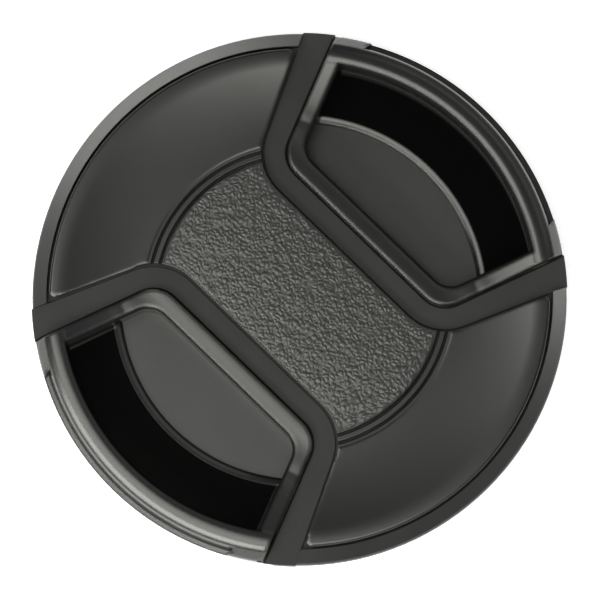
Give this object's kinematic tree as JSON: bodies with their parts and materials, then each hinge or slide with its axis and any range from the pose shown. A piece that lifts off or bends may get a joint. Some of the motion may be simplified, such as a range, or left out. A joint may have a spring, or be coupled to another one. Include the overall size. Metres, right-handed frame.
{
  "type": "camera lens cap",
  "caption": "Round centre-pinch camera lens cap with a grained centre, dished side panels and sprung finger tabs whose ridged claws grip a filter thread.",
  "frame": {"origin": "centre of the footprint, at the rear rim that the cap rests on", "axes": "+Z out of the front face, X along the way the tabs slide, Y along the bow-tie cover"},
  "size_m": [0.0608, 0.0608, 0.0081],
  "materials": {
    "body_plastic": "fine matte black plastic",
    "cover_plastic": "satin black plastic with a leather-grain centre",
    "tab_plastic": "satin black plastic, polished on the floor plate of the well",
    "spring_steel": "drawn spring wire"
  },
  "bodies": {
    "cap": {"cap_body": "body_plastic", "front_cover": "cover_plastic", "tab_spring_right": "spring_steel", "tab_spring_left": "spring_steel"},
    "tab_right": {"pinch_tab_right": "tab_plastic"},
    "tab_left": {"pinch_tab_left": "tab_plastic"}
  },
  "joints": [
    {"name": "right_tab_pinch", "type": "slide", "parent": "cap", "child": "tab_right", "axis": [-1, 0, 0], "range_m": [0, 0.0016], "stiffness_N_per_m": 700, "springref_m": -0.002, "deforming": ["tab_spring_right"]},
    {"name": "left_tab_pinch", "type": "slide", "parent": "cap", "child": "tab_left", "axis": [1, 0, 0], "range_m": [0, 0.0016], "stiffness_N_per_m": 700, "springref_m": -0.002, "deforming": ["tab_spring_left"]}
  ]
}
